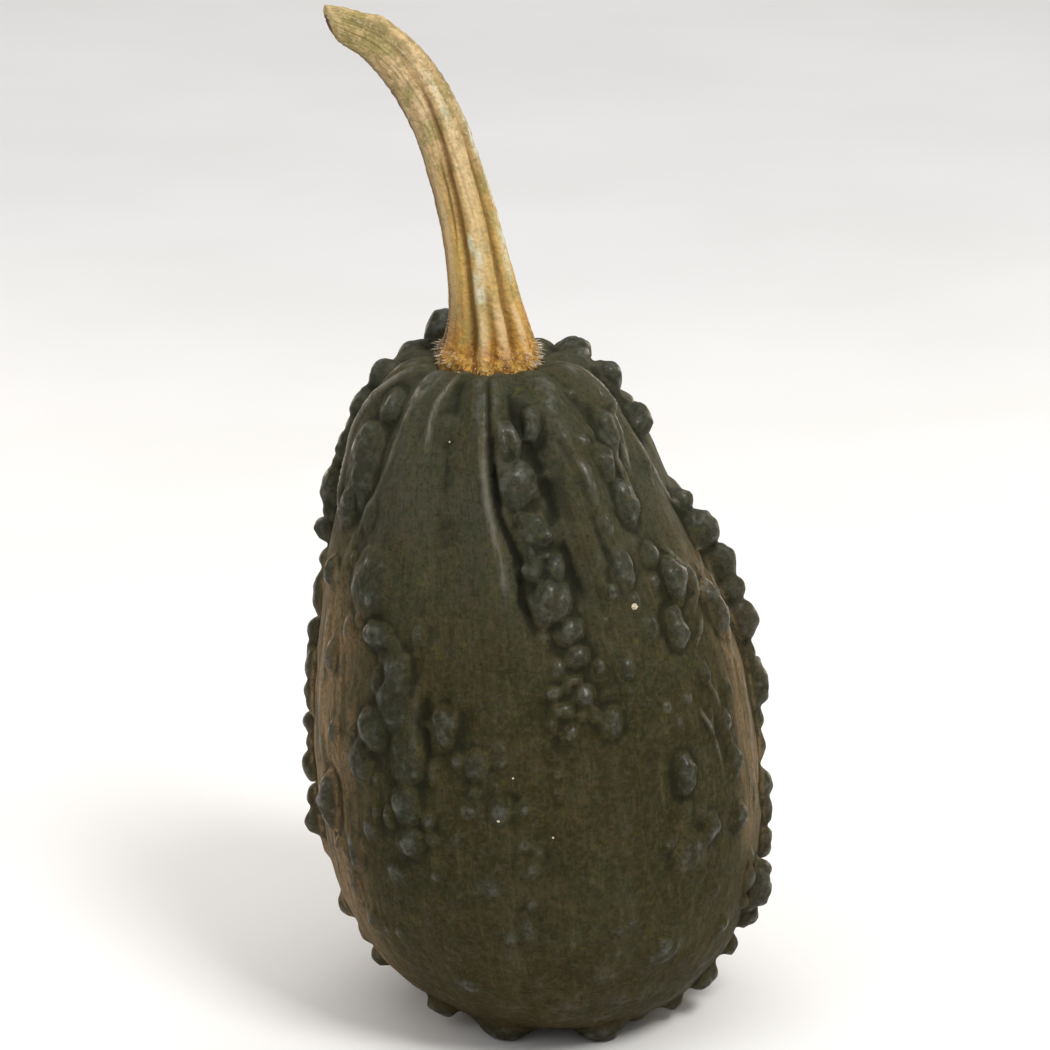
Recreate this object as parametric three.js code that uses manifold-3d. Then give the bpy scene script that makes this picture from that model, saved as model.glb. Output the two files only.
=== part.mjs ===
// A warted ornamental gourd: a leaning, egg-shaped fruit under its dry, curved stem.
// Millimetres, +Z up. The origin is the middle of the flat spot that the fruit stands on.
// The front faces -Y, and the stem bends over towards -X.
// An azimuth is in degrees from the front, growing towards +X.

import * as THREE from 'three';
import { mergeVertices } from 'three/addons/utils/BufferGeometryUtils.js';
import Module from 'manifold-3d';

const wasm = await Module();
wasm.setup();

// ---------------------------------------------------------------- driving dimensions

// Skin between the warts, as [radius, height], from the rim of the resting spot to the crown.
const PROFILE = [
  [9.0, 0], [23.0, 2.3], [33.6, 11.0], [41.0, 26.0], [43.0, 46.0], [41.2, 68.5],
  [37.0, 87.0], [31.2, 104.0], [25.8, 118.0], [17.6, 128.0], [8.6, 130.2], [0, 130.4],
];

// The fruit's middle line leans to the left as it rises, as [x, height].
const SPINE = [[0, 0], [-2.2, 25], [-4.2, 52], [-5.8, 76], [-9.4, 100], [-12.9, 130.4]];

const BODY_SEGMENTS = 40;
const BODY_RINGS = 22;

// Halvings used to find a height on a curve, which leave less than a nanometre.
const HALVINGS = 40;

// Soft ribs run down from the stem and fade out towards the belly.
const RIBS = { count: 10, firstRidge: -3, depth: 0.9, fadesFrom: 124, goneBy: 52 };

// Furrow in the front, beside the middle chain of warts.
const CREASE = { azimuth: -1, halfWidth: 3.5, depth: 1.3, bottom: 98, top: 128, fade: 6 };

// Warts as [azimuth, height on the fruit, width, length down the fruit, how far they stand out].
const WARTS = [
  // middle chain in the front, from the crown down
  [5, 120.8, 4.8, 7.6, 2.0], [17.5, 122.3, 4.0, 7.0, 2.2], [7.5, 113, 8.8, 8.8, 2.8],
  [10, 103.5, 8.4, 8.4, 2.0], [8, 97, 4.8, 5.8, 3.0], [14.5, 97, 5.0, 6.0, 3.2],
  [10.5, 93.6, 11.0, 10.4, 3.4], [15.5, 87, 6.6, 5.0, 2.2], [13.5, 83, 6.4, 4.2, 2.0],
  [14, 76, 5.4, 4.6, 1.8], [8, 74, 5.4, 3.6, 1.4],
  // front right
  [56.5, 119.3, 5.0, 9.0, 2.2], [46, 114.8, 4.8, 8.0, 1.8], [49, 107, 6.0, 9.4, 2.6],
  [36.5, 97, 4.8, 8.4, 1.9], [51.5, 97.5, 4.4, 4.4, 1.6], [56.5, 92, 5.8, 10.0, 2.8],
  [70, 84.5, 6.0, 12.0, 2.8], [49.5, 82.7, 5.8, 8.8, 2.8], [21.5, 70.8, 4.8, 6.2, 1.9],
  [41, 58.3, 5.0, 9.0, 2.4], [61, 56.5, 4.6, 7.0, 1.8], [62, 45, 5.0, 6.0, 1.8],
  [48.5, 46.5, 5.0, 5.8, 1.8], [70, 30, 4.0, 5.4, 1.6], [33, 24, 7.4, 5.4, 1.2],
  // front left
  [-60, 123.2, 5.4, 6.4, 1.6], [-64, 113, 8.5, 15.0, 2.2], [-68, 104.5, 4.6, 7.4, 1.6],
  [-49, 93, 10.5, 12.5, 1.9], [-44, 84.3, 6.6, 5.4, 2.4], [-70, 91.5, 4.2, 6.4, 2.0],
  [-35, 79, 7.0, 9.0, 2.6], [-37, 73.2, 7.0, 8.0, 1.6], [-44.5, 66.5, 8.0, 8.5, 2.4],
  [-49, 59.5, 6.6, 8.4, 1.8], [-33, 63, 7.0, 11.0, 1.6], [-22.5, 70, 5.4, 8.6, 1.9],
  [-33.5, 54, 6.4, 8.0, 1.9], [-33, 46.5, 6.0, 5.8, 1.9], [-14, 63.6, 4.4, 5.8, 1.5],
  [-8, 55.5, 4.2, 5.4, 1.5], [-46, 47, 4.6, 5.0, 1.3], [-54, 40, 4.6, 7.6, 1.4],
  [-38, 39.5, 4.8, 4.4, 1.3], [-2.5, 44, 4.6, 4.2, 1.3], [-13, 40.5, 5.4, 4.2, 1.2],
  [-4, 32, 3.8, 6.4, 1.3], [-52, 26, 4.6, 6.0, 1.3], [-24, 17, 5.4, 4.6, 1.3],
  // left side
  [-147, 129.0, 6.2, 6.2, 5.8], [-122, 128, 8.0, 7.0, 2.8], [-95, 125.3, 6.5, 6.0, 3.4],
  [-92, 120, 5.5, 6.5, 3.2], [-88, 112, 4.6, 6.6, 2.4], [-90, 104, 6.4, 11.2, 4.0],
  [-91, 95.4, 5.8, 5.8, 3.2], [-86, 81.5, 5.0, 8.6, 1.8], [-89, 75.5, 4.0, 5.0, 2.3],
  [-86, 69.5, 5.0, 7.6, 2.2], [-86, 63.5, 5.4, 9.6, 2.2], [-88, 48.7, 5.4, 6.4, 2.6],
  [-59, 48.5, 6.0, 12.6, 3.2], [-86, 37.4, 6.0, 7.0, 3.4], [-80, 10.5, 6.0, 5.5, 2.4],
  [-52, 5, 7.6, 5.0, 2.4],
  // right side
  [116, 127.8, 8.4, 8.0, 3.6], [100, 124.5, 6.4, 8.0, 3.0], [93, 116.4, 6.6, 7.6, 3.6],
  [91, 100.6, 5.6, 5.6, 3.4], [92, 95.2, 7.0, 7.6, 5.6], [90, 88.5, 5.6, 8.0, 4.6],
  [89, 84, 5.0, 6.0, 3.4], [88, 78, 6.4, 9.4, 4.6], [88, 65.3, 7.0, 12.6, 3.7],
  [87, 44.5, 4.8, 7.4, 2.6], [88, 33.5, 4.0, 5.4, 2.4], [77, 26.5, 7.0, 11.0, 4.2],
  [80, 18.5, 5.0, 6.0, 2.4], [68, 8.5, 7.0, 6.0, 2.2],
];

// A wart's middle lies under the skin by this share of how far it stands out.
const WART_ROOT = 0.3;

// Faces round and along a wart; one of a larger footprint, in square millimetres, has more.
const LARGE_WART = 45;
const WART_FACES = { small: [6, 4], large: [8, 6] };

// Chains of warts down the back, scattered evenly in place and size.
const BACK_CHAINS = [
  { azimuth: 112, warts: 7 }, { azimuth: 136, warts: 8 }, { azimuth: 163, warts: 9 },
  { azimuth: 189, warts: 8 }, { azimuth: 214, warts: 9 }, { azimuth: 241, warts: 7 },
];
const BACK_WART = {
  top: 121, bottom: 10, sway: 9, stagger: 0.7, width: 4.0, spread: 3.2, stretch: 0.8, proud: 0.48,
};

// Steps whose multiples, without their whole part, never bunch up.
const GOLDEN_STEP = (Math.sqrt(5) - 1) / 2;
const SILVER_STEP = Math.SQRT2 - 1;

// Warts of the underside that touch the ground, as [azimuth, distance from the middle, width].
const FEET = [[-25, 22.4, 11], [21, 22.6, 10], [96, 21.5, 9.4], [168, 22.0, 10.4], [-104, 21.8, 9.8]];
const FOOT = { halfHeight: 4.2, middle: 3.6, faces: [10, 8] };

// Stem: its middle line as [x, y, z], and how its radius falls along it as [fraction, radius].
const STEM_LINE = [
  [-13.1, 0, 127.6], [-13.1, 0, 135], [-13.8, 0, 141.4], [-15.7, -0.3, 152.4], [-18.4, -0.6, 162.6],
  [-22.0, -1.0, 173.2], [-27.0, -1.4, 182.8], [-33.4, -1.8, 189.4], [-41.2, -2.2, 192.9],
];
const STEM_RADII = [
  [0, 9.4], [0.06, 9.9], [0.1, 8.9], [0.15, 7.9], [0.22, 6.9], [0.36, 5.8], [0.52, 5.2],
  [0.7, 4.75], [0.86, 4.6], [0.95, 3.9], [1, 3.1],
];
const STEM_SIDES = 30;
const STEM_RINGS = 22;
const STEM_FURROWS = { count: 6, first: -25, twist: 40, depth: 0.17 };
const STEM_FOOT_LOBES = { count: 10, depth: 0.08, reach: 0.2 };
const STEM_CUT_SLANT = 2.6;

// Clearance between the stem's foot and the hollow it sits in.
const SEAT_GAP = 0.3;

// Block under the fruit that cuts its resting spot level, wider than the fruit.
const GROUND = { side: 200, depth: 20 };

// ---------------------------------------------------------------- fruit skin

const profileCurve = new THREE.SplineCurve(PROFILE.map(([r, z]) => new THREE.Vector2(r, z)));
const spineCurve = new THREE.SplineCurve(SPINE.map(([x, z]) => new THREE.Vector2(x, z)));

/** Value of a plane curve's x where its y reaches the given height. */
function xAtHeight(curve, height) {
  let low = 0;
  let high = 1;
  for (let step = 0; step < HALVINGS; step++) {
    const middle = (low + high) / 2;
    if (curve.getPoint(middle).y < height) low = middle;
    else high = middle;
  }
  return curve.getPoint(low).x;
}

function ribHeight(azimuth, height) {
  const fade = THREE.MathUtils.smoothstep(height, RIBS.goneBy, RIBS.fadesFrom);
  const wave = Math.cos(THREE.MathUtils.degToRad(RIBS.count * (azimuth - RIBS.firstRidge)));
  return RIBS.depth * fade * wave;
}

function creaseDepth(azimuth, height) {
  const across = (azimuth - CREASE.azimuth) / CREASE.halfWidth;
  const along = THREE.MathUtils.smoothstep(height, CREASE.bottom, CREASE.bottom + CREASE.fade)
    * (1 - THREE.MathUtils.smoothstep(height, CREASE.top - CREASE.fade, CREASE.top));
  return CREASE.depth * along * Math.exp(-across * across);
}

/** Point of the bare skin at an azimuth, a height and the profile's radius there. */
function skinPoint(azimuth, height, radius) {
  const relief = ribHeight(azimuth, height) - creaseDepth(azimuth, height);
  const r = radius > 0 ? Math.max(radius + relief, 0) : 0;
  const angle = THREE.MathUtils.degToRad(azimuth);
  return new THREE.Vector3(
    xAtHeight(spineCurve, height) + r * Math.sin(angle), -r * Math.cos(angle), height);
}

/** The leaning, ribbed body without its warts. */
function bodyGeometry() {
  const outline = [new THREE.Vector2(0, 0), ...profileCurve.getPoints(BODY_RINGS)];
  const geometry = new THREE.LatheGeometry(outline, BODY_SEGMENTS);
  geometry.rotateX(Math.PI / 2);
  const position = geometry.attributes.position;
  for (let i = 0; i < position.count; i++) {
    const [x, y, z] = [position.getX(i), position.getY(i), position.getZ(i)];
    const azimuth = THREE.MathUtils.radToDeg(Math.atan2(x, -y));
    const point = skinPoint(azimuth, z, Math.hypot(x, y));
    position.setXYZ(i, point.x, point.y, point.z);
  }
  return geometry;
}

// ---------------------------------------------------------------- warts

/** Place on the skin with its outward, upward and sideways directions. */
function skinFrame(azimuth, height) {
  const at = (a, z) => skinPoint(a, z, xAtHeight(profileCurve, z));
  const centre = at(azimuth, height);
  const side = at(azimuth + 1, height).sub(at(azimuth - 1, height)).normalize();
  const up = at(azimuth, height + 0.5).sub(at(azimuth, height - 0.5)).normalize();
  const out = new THREE.Vector3().crossVectors(side, up).normalize();
  return { centre, side, up, out };
}

/** A dome whose middle is a little under the skin; its poles point in and out. */
function wartGeometry(frame, width, length, proud) {
  const [round, along] = width * length > LARGE_WART ? WART_FACES.large : WART_FACES.small;
  const geometry = new THREE.SphereGeometry(1, round, along);
  const place = new THREE.Matrix4().makeBasis(
    frame.side.clone().multiplyScalar(width / 2),
    frame.out.clone().multiplyScalar(proud * (1 + WART_ROOT)),
    frame.up.clone().multiplyScalar(-length / 2));
  place.setPosition(frame.centre.clone().addScaledVector(frame.out, -proud * WART_ROOT));
  return geometry.applyMatrix4(place);
}

/** Evenly scattered number from 0 to 1, one for each turn and stream. */
function scatter(turn, stream) {
  const value = turn * (stream + 1) * GOLDEN_STEP + stream * SILVER_STEP;
  return value - Math.floor(value);
}

function backWarts() {
  const { top, bottom, sway, stagger, spread, stretch, proud } = BACK_WART;
  const warts = [];
  for (const chain of BACK_CHAINS) {
    for (let row = 0; row < chain.warts; row++) {
      const turn = warts.length;
      const down = (row + stagger * scatter(turn, 1)) / chain.warts;
      const width = BACK_WART.width + spread * scatter(turn, 2);
      const azimuth = chain.azimuth + sway * (scatter(turn, 3) - 0.5);
      const height = THREE.MathUtils.lerp(top, bottom, down);
      const length = width * (1 + stretch * scatter(turn, 4));
      warts.push([azimuth, height, width, length, width * proud]);
    }
  }
  return warts;
}

/** A blunt wart of the underside, low enough to be cut flat by the ground. */
function footGeometry(azimuth, distance, width) {
  const angle = THREE.MathUtils.degToRad(azimuth);
  const geometry = new THREE.SphereGeometry(1, ...FOOT.faces);
  geometry.scale(width / 2, width / 2, FOOT.halfHeight);
  geometry.translate(distance * Math.sin(angle), -distance * Math.cos(angle), FOOT.middle);
  return geometry;
}

// ---------------------------------------------------------------- stem

const stemCurve = new THREE.CatmullRomCurve3(
  STEM_LINE.map(([x, y, z]) => new THREE.Vector3(x, y, z)), false, 'catmullrom', 0.5);

function stemRadius(along) {
  const next = STEM_RADII.findIndex(([fraction]) => fraction >= along);
  if (next <= 0) return STEM_RADII[0][1];
  const [f0, r0] = STEM_RADII[next - 1];
  const [f1, r1] = STEM_RADII[next];
  return THREE.MathUtils.mapLinear(along, f0, f1, r0, r1);
}

/** How far the stem's section reaches at an angle: furrows all the way, lobes at the foot. */
function stemSection(along, angle) {
  const furrow = THREE.MathUtils.degToRad(STEM_FURROWS.first + STEM_FURROWS.twist * along);
  const ridge = Math.abs(Math.sin(STEM_FURROWS.count / 2 * (angle - furrow)));
  const foot = 1 - THREE.MathUtils.smoothstep(along, 0, STEM_FOOT_LOBES.reach);
  const lobes = STEM_FOOT_LOBES.depth * foot * Math.cos(STEM_FOOT_LOBES.count * (angle - furrow));
  return 1 - STEM_FURROWS.depth * (1 - foot) * (1 - ridge) + lobes;
}

/** The stem as a bent, ribbed cylinder, grown all round by a margin. */
function stemGeometry(margin) {
  const geometry = new THREE.CylinderGeometry(1, 1, 1, STEM_SIDES, STEM_RINGS);
  const position = geometry.attributes.position;
  for (let i = 0; i < position.count; i++) {
    const [x, y, z] = [position.getX(i), position.getY(i), position.getZ(i)];
    const along = y + 0.5;
    const angle = Math.atan2(x, z);
    const fill = Math.hypot(x, z);
    const forward = stemCurve.getTangent(along);
    const front = new THREE.Vector3(0, -1, 0).addScaledVector(forward, forward.y).normalize();
    const right = new THREE.Vector3().crossVectors(forward, front);
    const reach = fill * (stemRadius(along) * stemSection(along, angle) + margin);
    const slant = along === 1 ? STEM_CUT_SLANT * fill * Math.sin(angle) : 0;
    const end = along === 0 ? -margin : 0;
    const point = stemCurve.getPoint(along)
      .addScaledVector(right, reach * Math.sin(angle))
      .addScaledVector(front, reach * Math.cos(angle))
      .addScaledVector(forward, slant + end);
    position.setXYZ(i, point.x, point.y, point.z);
  }
  return geometry;
}

// ---------------------------------------------------------------- solids

/** Closed geometry to a solid that can be joined and cut. */
function toSolid(geometry) {
  const bare = geometry.clone();
  bare.deleteAttribute('normal');
  bare.deleteAttribute('uv');
  const merged = mergeVertices(bare, 1e-4);
  const corners = merged.index.array;
  const triangles = [];
  for (let i = 0; i < corners.length; i += 3) {
    const [a, b, c] = [corners[i], corners[i + 1], corners[i + 2]];
    if (a !== b && b !== c && c !== a) triangles.push(a, b, c);
  }
  return new wasm.Manifold(new wasm.Mesh({
    numProp: 3,
    vertProperties: new Float32Array(merged.attributes.position.array),
    triVerts: new Uint32Array(triangles),
  }));
}

function toGeometry(solid) {
  const mesh = solid.getMesh();
  const geometry = new THREE.BufferGeometry();
  geometry.setAttribute('position', new THREE.BufferAttribute(mesh.vertProperties, mesh.numProp));
  geometry.setIndex(new THREE.BufferAttribute(mesh.triVerts, 1));
  geometry.computeVertexNormals();
  return geometry;
}

/** Body, warts and feet as one, cut level at the ground and hollowed for the stem's foot. */
function fruitGeometry() {
  let fruit = toSolid(bodyGeometry());
  for (const [azimuth, height, width, length, proud] of [...WARTS, ...backWarts()]) {
    fruit = fruit.add(toSolid(wartGeometry(skinFrame(azimuth, height), width, length, proud)));
  }
  for (const [azimuth, distance, width] of FEET) {
    fruit = fruit.add(toSolid(footGeometry(azimuth, distance, width)));
  }
  const ground = new THREE.BoxGeometry(GROUND.side, GROUND.side, GROUND.depth);
  ground.translate(0, 0, -GROUND.depth / 2);
  const level = fruit.subtract(toSolid(ground));
  return toGeometry(level.subtract(toSolid(stemGeometry(SEAT_GAP))));
}

// ---------------------------------------------------------------- model

const skin = new THREE.MeshStandardMaterial({ color: 0x4a4838, roughness: 0.5, metalness: 0 });
const dryStem = new THREE.MeshStandardMaterial({ color: 0xc0a676, roughness: 0.85, metalness: 0 });

function namedMesh(name, geometry, material) {
  const mesh = new THREE.Mesh(geometry, material);
  mesh.name = name;
  return mesh;
}

const gourd = new THREE.Group();
gourd.add(
  namedMesh('fruit', fruitGeometry(), skin),
  namedMesh('stem', toGeometry(toSolid(stemGeometry(0))), dryStem),
);

export default gourd;
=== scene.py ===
"""The looks of a warted ornamental gourd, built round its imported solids.

The fruit is the skin of one distance field, in which a leaning, ribbed body joins its warts.
The stem is swept along its bent middle line and sits in a shallow hollow of the crown.
Shape functions count in millimetres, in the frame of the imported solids, and a mesh turns them
into metres. An azimuth is in degrees from the front, which faces -Y, growing towards +X.
"""
import math

import bpy
import numpy as np
import openvdb
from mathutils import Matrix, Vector
from mathutils.bvhtree import BVHTree


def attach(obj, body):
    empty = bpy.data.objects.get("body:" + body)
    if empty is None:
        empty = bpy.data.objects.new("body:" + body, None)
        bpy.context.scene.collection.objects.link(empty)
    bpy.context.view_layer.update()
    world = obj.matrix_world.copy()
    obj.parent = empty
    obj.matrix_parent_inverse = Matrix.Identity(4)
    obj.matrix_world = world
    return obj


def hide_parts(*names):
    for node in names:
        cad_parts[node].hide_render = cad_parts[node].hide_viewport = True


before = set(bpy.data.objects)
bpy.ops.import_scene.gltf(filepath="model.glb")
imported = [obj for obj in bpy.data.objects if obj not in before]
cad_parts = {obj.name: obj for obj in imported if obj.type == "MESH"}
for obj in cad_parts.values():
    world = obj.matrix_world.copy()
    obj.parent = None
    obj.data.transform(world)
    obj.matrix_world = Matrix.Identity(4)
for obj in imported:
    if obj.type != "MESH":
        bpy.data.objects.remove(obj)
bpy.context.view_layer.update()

MM = 0.001

# ---------- the fruit's dimensions

# Skin between the warts, as (radius, height), from the rim of the resting spot to the crown.
PROFILE = [
    (9, 0), (23, 2.3), (33.6, 11), (41, 26), (43, 46), (41.2, 68.5),
    (37, 87), (31.2, 104), (25.8, 118), (17.6, 128), (8.6, 130.2), (0, 130.4),
]

# The fruit's middle line leans to the left as it rises, as (x, height).
SPINE = [(0, 0), (-2.2, 25), (-4.2, 52), (-5.8, 76), (-9.4, 100), (-12.9, 130.4)]

RIB_COUNT, FIRST_RIB, RIB_HEIGHT = 10, -3, 0.9
RIBS_GONE_BY, RIBS_FULL_FROM = 52, 124
CROWN_FROM, CROWN_FULL = 118, 126

# Slow waves of the skin as (height out of it, waves round the fruit, radians they turn for each
# millimetre of height, and radians at which they start).
SLOW_WAVES = [(0.22, 3, 0.06, 0), (0.18, 5, -0.09, 2)]

# Warts as (azimuth, height on the fruit, width, length down the fruit, how far they stand out).
WARTS = [
    # middle chain in the front, from the crown down
    (3, 121, 2.2, 7.6, 1.5), (7.8, 120.8, 3, 7.2, 1.8), (17.5, 122.3, 4.2, 7.6, 2),
    (7, 113.4, 8.4, 8.8, 2.4), (9.5, 104.5, 7, 8.4, 1.8), (8, 98.6, 4.8, 5.8, 2.2),
    (14.5, 98.6, 5, 6, 2.3), (11, 92.8, 9, 9.6, 3.1), (14.5, 87.6, 6, 5.2, 2.2),
    (15, 83, 5.4, 4.2, 1.9), (15, 76.4, 4.4, 4, 1.7), (9, 73.6, 4.2, 3.2, 1.4),
    # front right
    (56.5, 119.3, 5, 9, 2), (46, 114.8, 4.8, 8, 1.6), (49, 107, 6, 9.4, 2.3),
    (36.5, 97, 4.8, 8.4, 1.7), (51.5, 97.5, 4.4, 4.4, 1.4), (56.5, 92, 5.8, 10, 2.5),
    (70, 84.5, 6, 12, 2.5), (49.5, 84.5, 5.8, 8.8, 2.5), (21.5, 70.8, 4.8, 6.2, 1.7),
    (41, 58.3, 5, 9, 2.2), (61, 56.5, 4.6, 7, 1.6), (62, 45, 5, 6, 1.6),
    (48.5, 46.5, 5, 5.8, 1.6), (70, 30, 4, 5.4, 1.4), (33, 24, 7.4, 5.4, 1),
    # front left
    (-60, 123.2, 5.4, 6.4, 1.4), (-64, 113, 8.5, 15, 1.8), (-68, 104.5, 4.6, 7.4, 1.4),
    (-49, 93, 10.5, 12.5, 1.7), (-44, 84.3, 6.6, 5.4, 2.2), (-70, 91.5, 4.2, 6.4, 1.8),
    (-36.5, 78.2, 5.8, 9, 2.3), (-37, 72.4, 7.8, 13, 1.9), (-44.5, 66.5, 8, 8.5, 2.2),
    (-49, 59.5, 6.6, 8.4, 1.6), (-33, 63, 7, 11, 1.4), (-22.5, 70, 5.4, 8.6, 1.7),
    (-33.5, 54, 6.4, 8, 1.7), (-33, 46.5, 6, 5.8, 1.7), (-14, 63.6, 4.4, 5.8, 1.4),
    (-8, 55.5, 4.2, 5.4, 1.4), (-46, 47, 4.6, 5, 1.1), (-54, 40, 4.6, 7.6, 1.3),
    (-38, 39.5, 4.8, 4.4, 1.1), (-2.5, 44, 4.6, 4.4, 0.8), (-13, 40.5, 5.4, 4.2, 1),
    (-4, 32, 3.8, 6.4, 1.1), (-52, 26, 4.6, 6, 1.1), (-24, 17, 5.4, 4.6, 1.1),
    # left side
    (-151, 128.6, 9.6, 9.4, 6.4), (-122, 128, 7.4, 6.6, 2.2), (-95, 125.3, 7, 7.4, 3.5),
    (-92, 120, 6.2, 8.2, 3.4), (-88, 112, 5.8, 8.4, 3), (-90, 104, 7.2, 12.4, 4.4),
    (-91, 95.4, 5.8, 6.4, 3.9), (-87, 84, 5.8, 11, 2.2), (-89, 75.5, 4.4, 6.4, 2.5),
    (-86, 69.5, 5, 7.6, 2.2), (-86, 63.5, 5.4, 9.6, 1.8), (-88, 48.7, 5.4, 7, 2.6),
    (-65, 47.5, 7, 13, 3), (-86, 37.4, 6, 7, 3.4), (-80, 10.5, 6, 5.5, 2.4),
    (-52, 5, 7.6, 5, 2.2),
    # right side
    (118, 127.8, 10.4, 8, 3.6), (101, 124.8, 6.8, 7, 3), (93, 116.4, 6.6, 7.8, 3.3),
    (91, 100.6, 5.2, 5.8, 3.9), (90, 94.9, 7.8, 9.8, 5.6), (90, 88, 6.6, 10.6, 5.7),
    (89, 83, 5.6, 7.6, 4.9), (88, 77.5, 6.6, 10.4, 5.2), (88, 65.3, 7.2, 13, 4),
    (87, 44.5, 4.8, 7.8, 2.4), (86, 33.2, 4.6, 7.4, 2.4), (77, 26.6, 7.4, 11.6, 4),
    (80, 19.6, 5.2, 6.8, 3), (68, 8.5, 7, 6, 2.2),
]

# Small warts and pimples, in the same order of values.
SMALL_WARTS = [
    # pebbles in and beside the middle chain
    (6, 107.5, 2.4, 2.4, 2.3), (11, 106.5, 2.6, 2.2, 2.5), (14.5, 104, 2.4, 2.6, 2.2),
    (7, 101, 2.6, 2.4, 2.3), (12, 100.5, 2.8, 2.2, 2.7), (17, 99.5, 2, 2.4, 1.8),
    (4.5, 98.5, 2, 2.8, 1.6), (16, 75.5, 3, 2.6, 1.8), (13, 79, 3.2, 2.2, 1.4),
    (7, 77, 2.8, 2.2, 1.3), (10, 69.5, 3.6, 3.4, 1.3), (6, 62, 2, 2, 0.8),
    (5.5, 59, 1.6, 1.6, 0.6), (21, 81, 2.2, 2.6, 1), (26, 89, 2, 2, 0.8),
    # front right
    (33.5, 112, 2.4, 9, 0.9), (36, 105, 2.8, 5, 1.3), (69, 112, 2, 4, 0.9),
    (40, 86, 3.6, 5, 1.2), (28.5, 80, 3.6, 4.6, 1.4), (28, 76, 2, 2, 0.8),
    (27, 73.5, 2.2, 1.8, 0.8), (33, 73.5, 2.4, 2, 0.9), (38, 71.5, 2.2, 2.4, 0.9),
    (41.5, 68.5, 2.2, 2.6, 1), (46, 72, 2.4, 3, 1), (59, 65, 3.2, 4.6, 1.4),
    (53, 67, 1.6, 6, 0.8), (55, 75, 2.6, 4, 1.1), (63, 70, 2.6, 4.4, 1.2),
    (41, 43, 7, 6, 0.7), (34, 46, 3, 2.6, 0.7), (19, 31, 2.6, 2.2, 0.7),
    (22.5, 31.5, 2.4, 2.6, 0.8), (50, 33, 2.6, 3, 0.8), (57, 24, 3, 3.6, 0.9),
    (50, 126, 1.6, 1.6, 0.8), (65, 125, 1.6, 1.6, 0.8), (68, 123, 1.8, 1.6, 0.8),
    # front left
    (-22, 122, 3, 4, 0.6), (-55, 104, 3.2, 5.4, 0.9), (-30, 86, 2.6, 4, 0.7),
    (-8, 65.5, 3.8, 4.6, 1.4), (-19, 64, 2.4, 2.6, 1), (-15, 58.5, 2, 2.2, 0.8),
    (-16, 55, 4, 3.6, 1), (-3, 48.5, 3, 3, 1), (-20, 49, 2.2, 3, 0.8),
    (-42, 26, 3, 3, 0.9), (-57, 32, 3, 6, 1), (-62, 62, 3.4, 6, 1.3),
    (-66, 76, 3.6, 6.4, 1.4), (-58, 83, 3, 4.6, 1.1), (-26, 41, 2.4, 2.2, 0.8),
    # silhouette
    (-88, 116.3, 4.2, 4.6, 2.6), (-88, 99.4, 4, 4.2, 2.6), (-88, 90.4, 4.4, 5, 1.9),
    (-89, 56.8, 3.4, 4.8, 2.1), (-89, 52.8, 3.6, 4.2, 1.8), (-88, 42, 4.4, 5.4, 2.3),
    (-88, 72.4, 3.4, 3.8, 2.4), (-89, 108.6, 4, 4.4, 3.2),
    (-84, 33, 3.6, 4.6, 1), (-82, 20.8, 4.2, 6.2, 1.8), (-78, 15.6, 4, 4, 1),
    (-36, 3, 3.4, 3, 0.7), (88, 71.6, 4.4, 6, 2.6), (88, 58, 4.2, 6.6, 1.8),
    (88, 52.4, 4, 8, 1.5), (88, 38.8, 4, 7.2, 2.1), (78, 13, 4.6, 4.8, 2.2),
    (57, 4.5, 5.6, 4.4, 2), (40, 2.8, 3.4, 3, 0.7),
]

# A wart's middle lies under the skin by this share of its height.
WART_ROOT = 0.3
# The skin dips this far round a wart, and ripples move a wart's surface this far.
MOAT_DEPTH, MOAT_WIDTH = 0.35, 1.3
WART_UNEVENNESS = 0.15
# Knobs stand on warts of at least this area, in square millimetres, and one more for each share.
KNOBBY_AREA, AREA_FOR_A_KNOB = 34, 18
# Knobs stand within this share of a wart's width, and each is this turn from the last, in radians.
KNOBS_REACH, GOLDEN_TURN = 0.66, 2.4

# Chains of warts down the back as (azimuth, how many), and the heights between which they run.
BACK_CHAINS = [(111, 11), (133, 12), (160, 13), (186, 11), (211, 13), (237, 11)]
BACK_TOP, BACK_BOTTOM = 117, 10

# Blunt warts of the underside as (azimuth, distance from the middle, width).
FEET = [(-25, 22.4, 11), (21, 22.6, 10), (96, 21.5, 9.4), (168, 22, 10.4), (-104, 21.8, 9.8)]
FOOT_HALF_HEIGHT, FOOT_MIDDLE = 4.2, 3.6

# The shallow hollow that the blossom left in the resting spot.
SCAR_RADIUS, SCAR_DEPTH = 7.5, 0.7

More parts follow.
